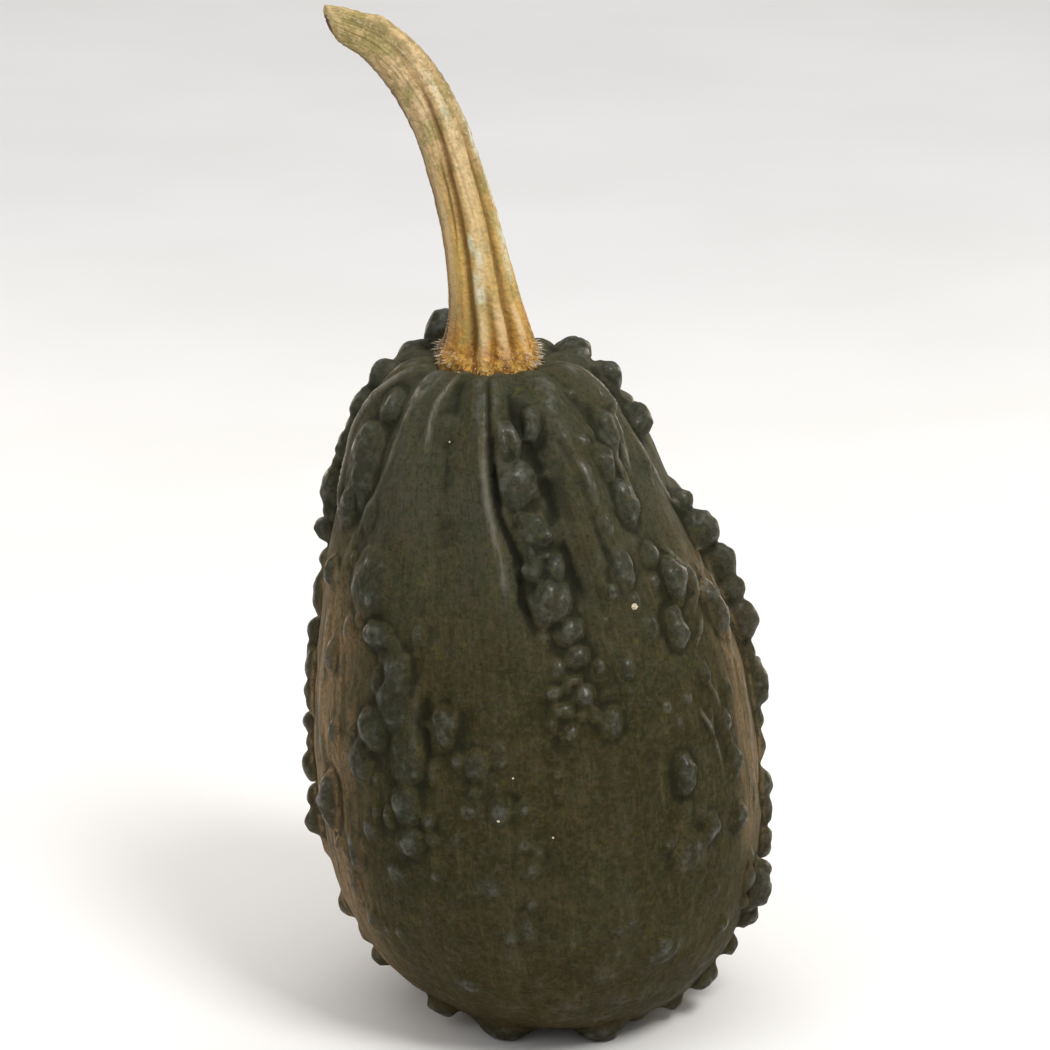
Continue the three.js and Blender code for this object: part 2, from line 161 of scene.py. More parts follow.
# Lines that run down the skin as (height out of the skin, half width, [(azimuth, height)...]).
SKIN_LINES = [
    # the furrow beside the middle chain and its two rims
    (-0.6, 0.45, [(0, 130), (-2, 123), (-2.6, 119.5), (-2, 114)]),
    (-0.75, 0.7, [(-1.6, 121), (-1.8, 114), (-1, 108), (1.6, 103.5), (3.2, 100.5), (3.2, 97),
                 (2.6, 93), (4, 90)]),
    (0.4, 0.8, [(-4.6, 123), (-5.2, 115), (-4.8, 110), (-3.6, 105), (-2, 99.5), (-2, 95)]),
    (0.12, 2, [(-2.4, 98), (-2, 92), (-1, 88), (1, 82)]),
    (-0.45, 1.1, [(11, 127), (12, 121.5), (15, 119), (17, 115), (18.2, 108.5), (19.5, 100),
                  (21.5, 93)]),
    (-0.35, 2.3, [(18, 123), (20.5, 118), (22, 112), (24.5, 103), (26, 92.5), (27, 86)]),
    (-0.3, 0.9, [(27, 121), (30, 116), (31, 109.5), (32, 103.5), (33, 97)]),
    (0.2, 0.6, [(31.5, 117), (34, 112), (35, 107)]),
    # broad, low swellings down the lower front
    (0.25, 3, [(-9, 78), (-11, 60), (-10, 40), (-8, 20)]),
    (0.3, 3.5, [(20, 66), (22, 50), (21, 34), (17, 18)]),
    (-0.2, 3, [(6, 74), (5, 56), (4, 36), (4, 20)]),
    (-0.2, 3, [(32, 64), (33, 48), (32, 30)]),
    # light ridges that fan out from the stem
    (0.9, 0.7, [(-66, 129), (-74, 124), (-79, 119), (-81, 112), (-77, 106), (-70, 101)]),
    (0.25, 0.8, [(-45, 119), (-47, 115), (-53, 109), (-59, 102.5), (-64, 95), (-67, 89)]),
    (0.45, 0.5, [(-26, 129.5), (-29.5, 126), (-30, 123), (-29.5, 118)]),
    (0.2, 0.7, [(-34, 129.5), (-42, 125), (-45, 121), (-46, 116)]),
    (-0.2, 0.9, [(-35, 129), (-34, 124), (-35, 118)]),
    (-0.15, 0.9, [(-19, 129), (-21, 122), (-21, 110)]),
    (0.65, 0.7, [(80, 129), (77, 125), (63, 121), (60, 116), (58, 112)]),
    (0.55, 0.6, [(51, 119), (54, 116), (55, 112), (55, 109), (55, 106), (51, 104)]),
    (0.5, 0.8, [(71, 116), (72, 112), (77, 107.5), (84, 103.5), (90, 99.5), (92, 96.5),
                (86, 93.5), (78, 91.5), (70, 89.5), (61, 87.5)]),
    (0.6, 0.6, [(60, 97.5), (62.5, 95), (65, 92), (65, 89), (60, 86)]),
    (0.55, 0.7, [(84, 88.5), (84, 84.5), (78, 81), (72, 77.5), (69, 74)]),
    (0.6, 0.5, [(62, 84.5), (59, 82), (54, 79.5)]),
    (0.5, 0.45, [(55, 73.5), (57, 71), (58, 68)]),
    (0.5, 0.45, [(50, 69), (53, 64), (55, 58)]),
    (0.4, 0.9, [(76, 70), (75, 60), (74, 50), (76, 42)]),
    (0.35, 0.9, [(-70, 84), (-71, 74), (-73, 62), (-70, 52)]),
    (0.3, 0.9, [(-62, 38), (-60, 30), (-57, 22)]),
    (-0.45, 0.9, [(-27.5, 75), (-28.5, 70), (-27, 64)]),
    (0.12, 0.8, [(-30, 77), (-31.5, 70), (-30, 62)]),
]

# ---------- the stem's dimensions

# The stem's middle line as (x, y, z), and its radii as (fraction of its length, radius).
STEM_LINE = [
    (-13.1, 0, 127.6), (-13.2, 0, 135), (-14, 0, 141.4), (-15.8, -0.3, 152.4),
    (-18.2, -0.6, 162.6), (-21.6, -1, 173.2), (-26.7, -1.4, 182.9), (-33.2, -1.8, 189.8),
    (-41.8, -2.2, 193.8),
]
STEM_RADII = [
    (0, 10), (0.05, 10.2), (0.09, 9), (0.13, 8.25), (0.18, 7.6), (0.24, 7), (0.36, 6),
    (0.52, 5.3), (0.7, 4.85), (0.84, 4.45), (0.94, 3.5), (1, 2.75),
]

# How far the cut end leans sideways and away from the front, and how deep it is dished.
STEM_CUT_SLANT, STEM_CUT_TURN, STEM_CUT_DISH = 1.7, 0.8, 0.7

# The gap between the stem's foot and its seat, and how the crown sinks round that seat: how far,
# at what distance from the stem's middle, and how widely.
SEAT_GAP = 0.25
SEAT_DIP, SEAT_DIP_AT, SEAT_DIP_SPREAD = 1.3, 9, 3

# How far the stem's furrows have turned round it, as (fraction of its length, degrees).
STEM_TWIST = [(0, 0), (0.26, 0), (0.4, 5), (0.54, 10), (0.66, 22), (0.8, 39), (0.9, 47), (1, 52)]

# Furrows as (angle at the foot, half width in degrees, depth as a share of the radius,
# the fractions of the stem between which they run).
FURROWS = [
    (-20, 6, 0.19, 0, 0.93), (-35, 3, 0.1, 0.36, 0.74), (9, 5, 0.1, 0, 0.36),
    (36, 6, 0.15, 0, 0.78), (58, 4, 0.05, 0.2, 0.6), (88, 8, 0.17, 0, 0.9),
    (118, 5, 0.07, 0, 0.5), (150, 8, 0.19, 0, 0.95), (182, 5, 0.08, 0.3, 0.8),
    (212, 8, 0.17, 0, 0.9), (243, 5, 0.08, 0, 0.5), (275, 7, 0.16, 0, 0.6),
    (308, 5, 0.05, 0, 0.4),
]

# The knob near the stem's end and the dip beyond it, as (rise, fraction of the stem's length,
# half length as such a fraction, angle, half width in radians).
STEM_LUMPS = [(0.7, 0.893, 0.02, 76, 0.5), (-0.1, 0.925, 0.014, 80, 0.6)]

# Patches on the stem's ribs as (fraction of its length, angle at the foot, and half their length
# and width in the same measures).
STEM_PATCHES = {
    "pale": [
        (0.48, 8, 0.2, 15), (0.14, 22, 0.12, 8), (0.14, -5, 0.12, 7), (0.14, 52, 0.1, 7),
        (0.4, -55, 0.2, 8), (0.5, 120, 0.2, 14), (0.45, 180, 0.25, 14), (0.5, 240, 0.25, 14)],
    "olive": [
        (0.72, 58, 0.22, 17), (0.62, -106, 0.3, 18), (0.88, -10, 0.1, 20), (0.3, 88, 0.12, 8),
        (0.7, 150, 0.2, 14), (0.6, 212, 0.2, 12)],
    "chalk": [
        (0.29, -4, 0.035, 10), (0.35, 2, 0.018, 7), (0.385, -8, 0.022, 6), (0.36, 66, 0.07, 13),
        (0.47, 72, 0.07, 10), (0.6, 58, 0.05, 8), (0.7, 8, 0.05, 8), (0.45, 178, 0.08, 14),
        (0.33, 235, 0.06, 12), (0.55, 120, 0.06, 12)],
}


# ---------- curves and noise

def spline(points, fractions, extend=False):
    """Smooth curve through points, at fractions from its first to its last."""
    points = np.asarray(points, float)
    before = 2 * points[0] - points[1] if extend else points[0]
    after = 2 * points[-1] - points[-2] if extend else points[-1]
    padded = np.vstack([before, points, after])
    place = np.asarray(fractions, float) * (len(points) - 1)
    first = np.minimum(place.astype(int), len(points) - 2)
    t = (place - first)[..., None]
    p0, p1, p2, p3 = (padded[first + k] for k in range(4))
    v1, v2 = (p2 - p0) / 2, (p3 - p1) / 2
    return (2 * (p1 - p2) + v1 + v2) * t**3 + (3 * (p2 - p1) - 2 * v1 - v2) * t**2 + v1 * t + p1


def ease(low, high, value):
    """0 up to low and 1 from high, with a soft passage between them."""
    t = np.clip((value - low) / (high - low), 0, 1)
    return t * t * (3 - 2 * t)


def off_by(azimuth, middle):
    """Degrees from one azimuth to another, from -180 to 180."""
    return (azimuth - middle + 180) % 360 - 180


def ripple(points, wavelength, seed, waves=14):
    """Smooth, aimless waves through space, mostly between -1 and 1."""
    draw = np.random.default_rng(seed)
    total = np.zeros(points.shape[:-1])
    for _ in range(waves):
        direction = draw.normal(size=3)
        direction /= np.linalg.norm(direction)
        pace = math.tau / (wavelength * draw.uniform(0.7, 1.5))
        total += np.sin(points @ direction * pace + draw.uniform(0, math.tau))
    return total / math.sqrt(waves)


# ---------- the bare skin

OUTLINE = np.vstack([[(0, 0)], spline(PROFILE, np.linspace(0, 1, 300))])
MIDDLE = spline(SPINE, np.linspace(0, 1, 200))


def radius_at(height):
    return np.interp(height, OUTLINE[1:, 1], OUTLINE[1:, 0])


def middle_at(height):
    return np.interp(height, MIDDLE[:, 1], MIDDLE[:, 0])


def round_stem(x, y):
    """Distance from the middle of the stem's base, and the angle round it."""
    across, forward = x - STEM_LINE[0][0], STEM_LINE[0][1] - y
    return np.hypot(across, forward), np.arctan2(across, forward)


def skin_relief(azimuth, height):
    """Ribs and slow unevenness of the bare skin, in millimetres."""
    turn = np.radians(azimuth)
    fade = ease(RIBS_GONE_BY, RIBS_FULL_FROM, height)
    ribs = RIB_HEIGHT * fade * np.cos(RIB_COUNT * (turn - math.radians(FIRST_RIB)))
    slow = sum(rise * np.sin(waves * turn + height * slant + start)
               for rise, waves, slant, start in SLOW_WAVES)
    slow = slow * ease(2, 14, height)
    return ribs + slow * (1 - ease(CROWN_FROM, CROWN_FULL + 2, height))


def outline_distance(radii, heights):
    """Signed distance from the body's outline over a grid of radius and height."""
    r, z = np.meshgrid(radii, heights, indexing="ij")
    nearest = np.full(r.shape, np.inf)
    inside = np.zeros(r.shape, bool)
    for (r0, z0), (r1, z1) in zip(OUTLINE[:-1], OUTLINE[1:]):
        along, up = r1 - r0, z1 - z0
        t = np.clip(((r - r0) * along + (z - z0) * up) / (along**2 + up**2), 0, 1)
        nearest = np.minimum(nearest, np.hypot(r - r0 - t * along, z - z0 - t * up))
        if up > 0:
            inside ^= (z0 <= z) & (z < z1) & (r < r0 + (z - z0) / up * along)
    return np.where(inside, -nearest, nearest)


# The distances from the outline, worked out once on a grid of radius and height.
TABLE_STEP, TABLE_LOW, TABLE_HIGH, TABLE_REACH = 0.5, -4.0, 142, 64
TABLE = outline_distance(
    np.arange(0, TABLE_REACH, TABLE_STEP), np.arange(TABLE_LOW, TABLE_HIGH, TABLE_STEP))


def foot_reach(angle, along):
    """The stem's radius with the lobes of its foot, as a share of that without them."""
    lobes = 0.03 * np.cos(7 * angle + 1.3) + 0.02 * np.cos(13 * angle + 0.4)
    for at, half_width, share, start, _ in FURROWS:
        off = off_by(np.degrees(angle), at)
        lobes = lobes - share * 0.5 * (start == 0) * np.exp(-(off / (1.2 * half_width)) ** 2)
    return 1 + lobes * (1 - ease(0.04, 0.2, along))


def bare_skin(x, y, z):
    """Distance from the bare skin, less than 0 inside it."""
    across = x - middle_at(z)
    r = np.hypot(across, y) / TABLE_STEP
    h = (z - TABLE_LOW) / TABLE_STEP + np.zeros_like(r)
    i = np.clip(r.astype(int), 0, TABLE.shape[0] - 2)
    j = np.clip(h.astype(int), 0, TABLE.shape[1] - 2)
    s, t = r - i, h - j
    near = TABLE[i, j] * (1 - t) + TABLE[i, j + 1] * t
    far = TABLE[i + 1, j] * (1 - t) + TABLE[i + 1, j + 1] * t
    azimuth = np.degrees(np.arctan2(across, -y))
    # the crown sinks round the stem, most of all under the lobes of its foot, and has no ribs there
    away, angle = round_stem(x, y)
    crown = ease(CROWN_FROM, CROWN_FULL, z)
    pressed = np.clip(1 + 7 * (foot_reach(angle, 0) - 0.99), 0.35, 1.5)
    dip = SEAT_DIP * pressed * np.exp(-((away - SEAT_DIP_AT) / SEAT_DIP_SPREAD) ** 2) * crown
    calm = 1 - crown * (1 - ease(11, 16, away))
    return near * (1 - s) + far * s - skin_relief(azimuth, z) * calm + dip


def skin_point(azimuth, height):
    """Place on the bare skin, away from the stem's seat."""
    reach = radius_at(height) + skin_relief(azimuth, height)
    turn = math.radians(azimuth)
    return np.array([
        middle_at(height) + reach * math.sin(turn), -reach * math.cos(turn), height])


def skin_frame(azimuth, height):
    """Place on the bare skin with its sideways, upward and outward directions."""
    side = skin_point(azimuth + 1, height) - skin_point(azimuth - 1, height)
    up = skin_point(azimuth, height + 0.5) - skin_point(azimuth, height - 0.5)
    side /= np.linalg.norm(side)
    up /= np.linalg.norm(up)
    out = np.cross(side, up)
    return skin_point(azimuth, height), np.array([side, up, out / np.linalg.norm(out)])


# ---------- warts

def back_warts(draw):
    """Warts in swaying chains, scattered in place and size."""
    warts = []
    for azimuth, count in BACK_CHAINS:
        for row in range(count):
            down = (row + draw.uniform(0, 0.7)) / count
            width = draw.uniform(3.0, 7.4)
            warts.append((
                azimuth + 4 * math.sin(0.9 * row + azimuth) + draw.uniform(-2.5, 2.5),
                BACK_TOP + (BACK_BOTTOM - BACK_TOP) * down,
                width, width * draw.uniform(1.0, 1.9), width * draw.uniform(0.32, 0.42)))
    return warts


def companions(warts, draw):
    """Pimples scattered beside warts."""
    small = []
    for azimuth, height, width, length, _ in warts:
        on_flank = 76 < abs(azimuth) < 106
        for _ in range(0 if on_flank else draw.integers(0, 4)):
            turn = draw.uniform(0, math.tau)
            size = draw.uniform(1.4, 2.8)
            sideways = (width / 2 + size * 0.8) * math.cos(turn)
            upward = (length / 2 + size * 0.8) * math.sin(turn)
            at = float(np.clip(height + upward, 4, 126))
            small.append((
                azimuth + math.degrees(sideways / radius_at(at)), at,
                size, size * draw.uniform(0.9, 1.9), size * draw.uniform(0.3, 0.5)))
    return small


class Lump:
    """An ellipsoid in the skin: its middle, its half axes and how softly it joins the skin."""

    def __init__(self, middle, axes, halves, blend):
        self.middle, self.axes, self.halves = middle, axes, np.asarray(halves, float)
        self.blend = blend

    def distance(self, points):
        """Close to the distance from the ellipsoid's surface, less than 0 inside it."""
        local = (points - self.middle) @ self.axes.T / self.halves
        near = np.linalg.norm(local, axis=-1)
        steep = np.linalg.norm(local / self.halves, axis=-1)
        return near * (near - 1) / np.maximum(steep, 1e-6)


def wart_lumps(wart, draw):
    """The low dome of a wart, and the knobs that stand on a large one."""
    azimuth, height, width, length, proud = wart
    place, axes = skin_frame(azimuth, height)
    area = width * length
    plain = area < KNOBBY_AREA or proud > 0.6 * width
    knobs = 0 if plain else 1 + int(area / AREA_FOR_A_KNOB)
    dome_height = proud * (0.9 if knobs else 1)
    soft = min(1.8, 0.4 + 0.22 * width / proud)
    lumps = [Lump(place - axes[2] * dome_height * WART_ROOT, axes,
                  (width / 2, length / 2, dome_height * (1 + WART_ROOT)), soft)]
    turn = draw.uniform(0, math.tau)
    for k in range(knobs):
        share = math.sqrt((k + 0.3) / knobs) * KNOBS_REACH
        turn += GOLDEN_TURN + draw.uniform(-0.4, 0.4)
        sideways = share * width / 2 * math.cos(turn)
        upward = share * length / 2 * math.sin(turn)
        size = draw.uniform(0.9, 1.7)
        top = proud * (1 - 0.5 * share**2) * draw.uniform(0.94, 1.0)
        deep = min(size, top)
        middle = place + axes[0] * sideways + axes[1] * upward + axes[2] * (top - deep)
        halves = (size, size * draw.uniform(0.9, 1.3), deep)
        lumps.append(Lump(middle, axes, halves, 1.1))
    return lumps


# ---------- the fruit's field

VOXEL = 0.5
BAND = 3 * VOXEL
FIELD_LOW = np.array([-52.0, -47.0, -1.5])
FIELD_HIGH = np.array([45.0, 48.0, 137.0])


class Field:
    """Distance to the fruit's surface over a grid of small cubes."""

    def __init__(self):
        self.axes = [np.arange(low, high, VOXEL) for low, high in zip(FIELD_LOW, FIELD_HIGH)]
        x, y, z = np.meshgrid(*self.axes, indexing="ij", sparse=True)
        self.values = bare_skin(x, y, z).astype(np.float32)

    def near(self, lump, margin):
        """The part of the grid round a lump, and its points."""
        reach = lump.halves.max() + margin
        spans = tuple(
            slice(*np.searchsorted(axis, (middle - reach, middle + reach)))
            for axis, middle in zip(self.axes, lump.middle))
        grid = np.meshgrid(*(a[s] for a, s in zip(self.axes, spans)), indexing="ij")
        return spans, np.stack(grid, axis=-1)

    def sink_round(self, lumps):
        """Draws the bare skin in a little where a wart leaves it."""
        moat = np.zeros_like(self.values)
        for lump in lumps:
            spans, points = self.near(lump, 2.5 * MOAT_WIDTH)
            away = lump.distance(points) / MOAT_WIDTH
            steep = float(ease(1.2, 3.6, lump.halves[2]))
            dip = MOAT_DEPTH * steep * np.exp(-away * away)
            moat[spans] = np.maximum(moat[spans], dip)
        self.values += moat

    def join(self, lump):
        """Unites a lump with the fruit, softly."""
        blend = lump.blend
        spans, points = self.near(lump, blend + 1.0)
        a = self.values[spans]
        uneven = WART_UNEVENNESS * min(1.0, lump.halves[2] / 2.0)
        waves = ripple(points, 4.6, 31, 8) + 0.5 * ripple(points, 2.4, 32, 8)
        b = lump.distance(points) + uneven * waves
        share = np.clip(0.5 + 0.5 * (b - a) / blend, 0, 1)
        self.values[spans] = b + (a - b) * share - blend * share * (1 - share)

    def carve(self, distance):
        """Takes away what lies inside a shape."""
        self.values = np.maximum(self.values, -distance).astype(np.float32)

    def surface(self):
        """Points in millimetres and four-sided faces of the surface."""
        grid = openvdb.FloatGrid(BAND)
        grid.copyFromArray(np.clip(self.values, -BAND, BAND))
        points, quads = grid.convertToQuads(isovalue=0.0)
        return points * VOXEL + FIELD_LOW, quads


def fruit_field():
    draw = np.random.default_rng(11)
    warts = WARTS + back_warts(draw)
    small = SMALL_WARTS + companions(warts, draw)
    field = Field()
    field.sink_round([wart_lumps(w, np.random.default_rng(0))[0] for w in warts])
    for wart in warts + small:
        for lump in wart_lumps(wart, draw):
            field.join(lump)
    for azimuth, distance, width in FEET:
        turn = math.radians(azimuth)
        middle = np.array([distance * math.sin(turn), -distance * math.cos(turn), FOOT_MIDDLE])
        halves = (width / 2, width / 2, FOOT_HALF_HEIGHT)
        field.join(Lump(middle, np.eye(3), halves, 1.5))
    x, y, z = np.meshgrid(*field.axes, indexing="ij", sparse=True)
    field.carve(z)
    field.carve(np.sqrt((x * x + y * y) / SCAR_RADIUS**2 + (z / SCAR_DEPTH)**2) - 1)
    field.carve(stem_seat(x, y, z))
    return field


def stem_seat(x, y, z):
    """Distance from the hollow in the crown that takes the stem's foot."""
    away, angle = round_stem(x, y)
    reach = STEM_RADII[1][1] * (0.75 * foot_reach(angle, 0) + 0.25) + SEAT_GAP
    return np.maximum(away - reach, STEM_LINE[0][2] - SEAT_GAP - z)


# ---------- meshes

def add_object(name, data):
    obj = bpy.data.objects.new(name, data)
    bpy.context.scene.collection.objects.link(obj)
    return obj


def make_object(name, points, faces):
    mesh = bpy.data.meshes.new(name)
    mesh.from_pydata(np.asarray(points, float) * MM, [], faces)
    mesh.validate()
    mesh.shade_smooth()
    return add_object(name, mesh)


def vectors(items, name):
    flat = np.empty(len(items) * 3, np.float32)
    items.foreach_get(name, flat)
    return flat.reshape(-1, 3).astype(float)


def mesh_points(mesh):
    return vectors(mesh.vertices, "co") / MM


def move_points(mesh, points):
    mesh.vertices.foreach_set("co", (points * MM).ravel())
    mesh.update()


def store(mesh, name, values):
    """Keeps a number or a vector for each point, for the material to read."""
    kind, slot = ("FLOAT", "value") if values.ndim == 1 else ("FLOAT_VECTOR", "vector")
    layer = mesh.attributes.new(name, kind, "POINT")
    layer.data.foreach_set(slot, np.ascontiguousarray(values, np.float32).ravel())


def applied(obj):
    """Replaces an object's mesh by what its modifiers make of it."""
    shown = obj.evaluated_get(bpy.context.evaluated_depsgraph_get())
    mesh = bpy.data.meshes.new_from_object(shown)
    obj.modifiers.clear()
    obj.data = mesh
    return mesh


def cross_axes(direction, beside):
    """Two axes square to a direction."""
    side = np.cross(direction, beside)
    side /= np.linalg.norm(side)
    return side, np.cross(direction, side)


def ring(centre, side, over, reaches):
    """Points spread round a centre, each at its own reach from it."""
    points = []
    for k, reach in enumerate(reaches):
        turn = math.tau * k / len(reaches)
        points.append(centre + reach * (math.cos(turn) * side + math.sin(turn) * over))
    return points


def ring_faces(first, around, rings, top, low=None):
    """Faces that join stacked rings of points, with a fan to the point top and one to low.

    Without low, one face closes the first ring.
    """
    faces = []
    last = first + (rings - 1) * around
    for start in range(first, last, around):
        for k in range(around):
            a, b = start + k, start + (k + 1) % around
            faces.append((a, b, b + around, a + around))
    faces += [(top, last + k, last + (k + 1) % around) for k in range(around)]
    if low is None:
        return faces + [tuple(first + k for k in reversed(range(around)))]
    return faces + [(low, first + (k + 1) % around, first + k) for k in range(around)]


def skin_places(points):
    """Azimuth, height and distance from the bare skin of each point."""
    x, y, z = points.T
    return np.degrees(np.arctan2(x - middle_at(z), -y)), z, bare_skin(x, y, z)


def line_strength(azimuth, height, half_width, line):
    """1 on a line down the skin, falling to 0 beside it and beyond its ends."""
    line = sorted((h, a) for a, h in line)
    heights, azimuths = [h for h, _ in line], [a for _, a in line]
    off = off_by(azimuth, np.interp(height, heights, azimuths))
    across = np.radians(off) * radius_at(height) / half_width
    ends = ease(heights[0] - 3, heights[0] + 3, height)
    ends *= 1 - ease(heights[-1] - 1.5, heights[-1] + 1.5, height)
    return np.exp(-across * across) * ends


def back_lines():
    """Ridges and furrows that fan out from the stem round the back."""
    draw = np.random.default_rng(5)
    lines = []
    for azimuth in range(98, 262, 13):
        lift = 0.3 if (azimuth // 13) % 2 else -0.5
        foot = draw.uniform(72, 108)
        sway = draw.uniform(-4, 4, 4)
        lines.append((lift * draw.uniform(0.4, 1.2), draw.uniform(0.7, 1.5), [
            (azimuth, 129.5), (azimuth + sway[0], 123), (azimuth + sway[1], 117),
            (azimuth + sway[2], 110), (azimuth + sway[3], foot)]))
    return lines


def tan_share(azimuth, height):
    """How much tan lies on the skin, on the flanks and more weakly on the back."""
    away = np.abs(azimuth)
    # on the left it starts nearer the front, is stronger and reaches further down
    left = azimuth < 0
    share = ease(np.where(left, 40, 60), 70, away) * np.where(left, 1.0, 0.7)
    share *= 1 - 0.6 * ease(100, 130, away)
    low = np.where(left, 0, 22)
    turn = np.radians(azimuth)
    high = 92 + ease(85, 105, away) * (7 * np.sin(5 * turn) + 5 * np.sin(11 * turn))
    return share * ease(low, low + 26, height) * (1 - ease(high - 12, high + 12, height))


FRUIT_TRIANGLES = 190_000


def make_fruit():
    points, quads = fruit_field().surface()
    fruit = make_object("gourd_fruit", points, quads)
    smooth = fruit.modifiers.new("smooth", "SMOOTH")
    smooth.factor, smooth.iterations = 0.5, 2
    mesh = applied(fruit)

    points = mesh_points(mesh)
    azimuth, height, lift = skin_places(points)
    bare = 1 - ease(0.5, 1.4, lift)
    relief = np.zeros(len(points))
    for depth, half_width, line in SKIN_LINES + back_lines():
        relief += depth * line_strength(azimuth, height, half_width, line)
    resting = ease(0.2, 2.0, height)
    relief *= bare * resting
    relief += resting * 0.03 * ripple(points, 3.0, 21) + resting * 0.08 * ripple(points, 9.0, 22)
    relief += resting * 0.07 * ease(0.4, 1.4, lift) * ripple(points, 2.2, 23)
    move_points(mesh, points + vectors(mesh.vertex_normals, "vector") * relief[:, None])

    thin = fruit.modifiers.new("thin", "DECIMATE")
    thin.ratio = min(1.0, FRUIT_TRIANGLES / (2 * len(mesh.polygons)))
    mesh = applied(fruit)
    move_points(mesh, np.maximum(mesh_points(mesh), (-np.inf, -np.inf, 0)))
    mesh.shade_smooth()
    keep_fruit_marks(mesh)
    return fruit


# Rounds of averaging that give a point's surroundings.
EASING_ROUNDS = 28


def sunk_depths(mesh, points):
    """How deep each point lies below its surroundings, less than 0 where it stands out."""
    ends = np.empty(len(mesh.edges) * 2, np.int32)
    mesh.edges.foreach_get("vertices", ends)
    first, second = ends[::2], ends[1::2]
    total = len(points)
    count = np.bincount(first, minlength=total) + np.bincount(second, minlength=total)
    eased = points.copy()
    for _ in range(EASING_ROUNDS):
        for axis in range(3):
            values = eased[:, axis]
            beside = np.bincount(first, values[second], total)
            beside += np.bincount(second, values[first], total)
            eased[:, axis] = 0.5 * values + 0.5 * beside / np.maximum(count, 1)
    return np.sum((eased - points) * vectors(mesh.vertex_normals, "vector"), axis=1)


def keep_fruit_marks(mesh):
    """Keeps for the material what each point of the skin is part of."""
    points = mesh_points(mesh)
    azimuth, height, lift = skin_places(points)
    sunk = sunk_depths(mesh, points)
    store(mesh, "wart", ease(0.25, 1.5, lift))
    # painted shade where the surface lies below its surroundings, in creases and between warts
    store(mesh, "crease", ease(0.05, 0.28, sunk) * ease(0.5, 3.0, height))
    # how far each point stands out above its surroundings; pale blotches there are partly a painted
    # highlight
    store(mesh, "top", ease(0.14, 0.4, -sunk))
    # painted shade in the dips round the warts and in narrow furrows, a narrow furrow darker than a
    # wide one
    hollow = ease(0.12, 0.7, -lift)
    # pale rims along the raised lines, partly their own colour and partly a painted highlight
    light = np.zeros(len(points))
    for depth, half_width, line in SKIN_LINES + back_lines():
        strength = line_strength(azimuth, height, half_width, line)
        narrow = min(1, 0.9 / half_width)**2
        if depth > 0:
            light = np.maximum(light, strength**2 * min(1, depth / 0.75) * narrow)
        else:
            hollow = np.maximum(hollow, strength * min(1, -depth) * narrow)
    store(mesh, "hollow", hollow * ease(0.5, 3.0, height))
    store(mesh, "ridge", light * (1 - ease(0.8, 1.6, lift)))
    # the skin as a squat column, on which noise turns into streaks that run down
    turn = np.radians(azimuth)
    radius, squeeze = 40, 0.16
    squat = [np.sin(turn) * radius, -np.cos(turn) * radius, height * squeeze]
    store(mesh, "unrolled", np.stack(squat, axis=1))
    store(mesh, "flank_tan", tan_share(azimuth, height))
    flat = np.hypot(points[:, 0], points[:, 1])
    store(mesh, "scar", (1 - ease(5.6, 7.6, flat)) * (1 - ease(1.0, 2.0, height)))
    away, _ = round_stem(points[:, 0], points[:, 1])
    store(mesh, "seat", (1 - ease(10.2, 13.5, away)) * ease(120, 127, height))


# ---------- the stem

# Points round the stem, rings along it, and rings across its cut end.
STEM_ROUND, STEM_STEPS, STEM_CAP = 168, 300, 14


def stem_frame(along):
    """Middle, sideways, front and forward directions at fractions of the stem's length."""
    along = np.asarray(along, float)
    middle = spline(STEM_LINE, along, extend=True)
    step = 1e-3
    low, high = np.clip(along - step, 0, 1), np.clip(along + step, 0, 1)
    forward = spline(STEM_LINE, high, extend=True) - spline(STEM_LINE, low, extend=True)
    forward /= np.linalg.norm(forward, axis=-1, keepdims=True)
    front = np.array([0, -1.0, 0]) + forward * forward[..., 1:2]
    front /= np.linalg.norm(front, axis=-1, keepdims=True)
    return middle, np.cross(forward, front), front, forward


def stem_radius(along):
    """Radius without lobes and furrows, with the corners of its list smoothed away."""
    spread = np.linspace(-0.02, 0.02, 9)
    return np.mean([np.interp(along + s, *zip(*STEM_RADII)) for s in spread], axis=0)


def stem_turn(along):
    """Degrees by which the furrows have turned round the stem."""
    return np.interp(along, *zip(*STEM_TWIST))


def furrow_depth(along, angle):
    """Share of the radius that the furrows take away."""
    turned = np.degrees(angle) - stem_turn(along)
    depth = np.zeros(np.broadcast(along, angle).shape)
    for at, half_width, share, start, end in FURROWS:
        off = off_by(turned, at)
        wide = half_width * (1 + 0.5 * ease(0.3, 1.0, along))
        run = ease(start, start + 0.08, along) * (1 - ease(0.62 * end, end, along))
        valley = 0.75 * np.exp(-(off / wide) ** 2) + 0.3 * np.exp(-np.abs(off) / (1.8 * wide))
        depth += share * run * valley
    return depth


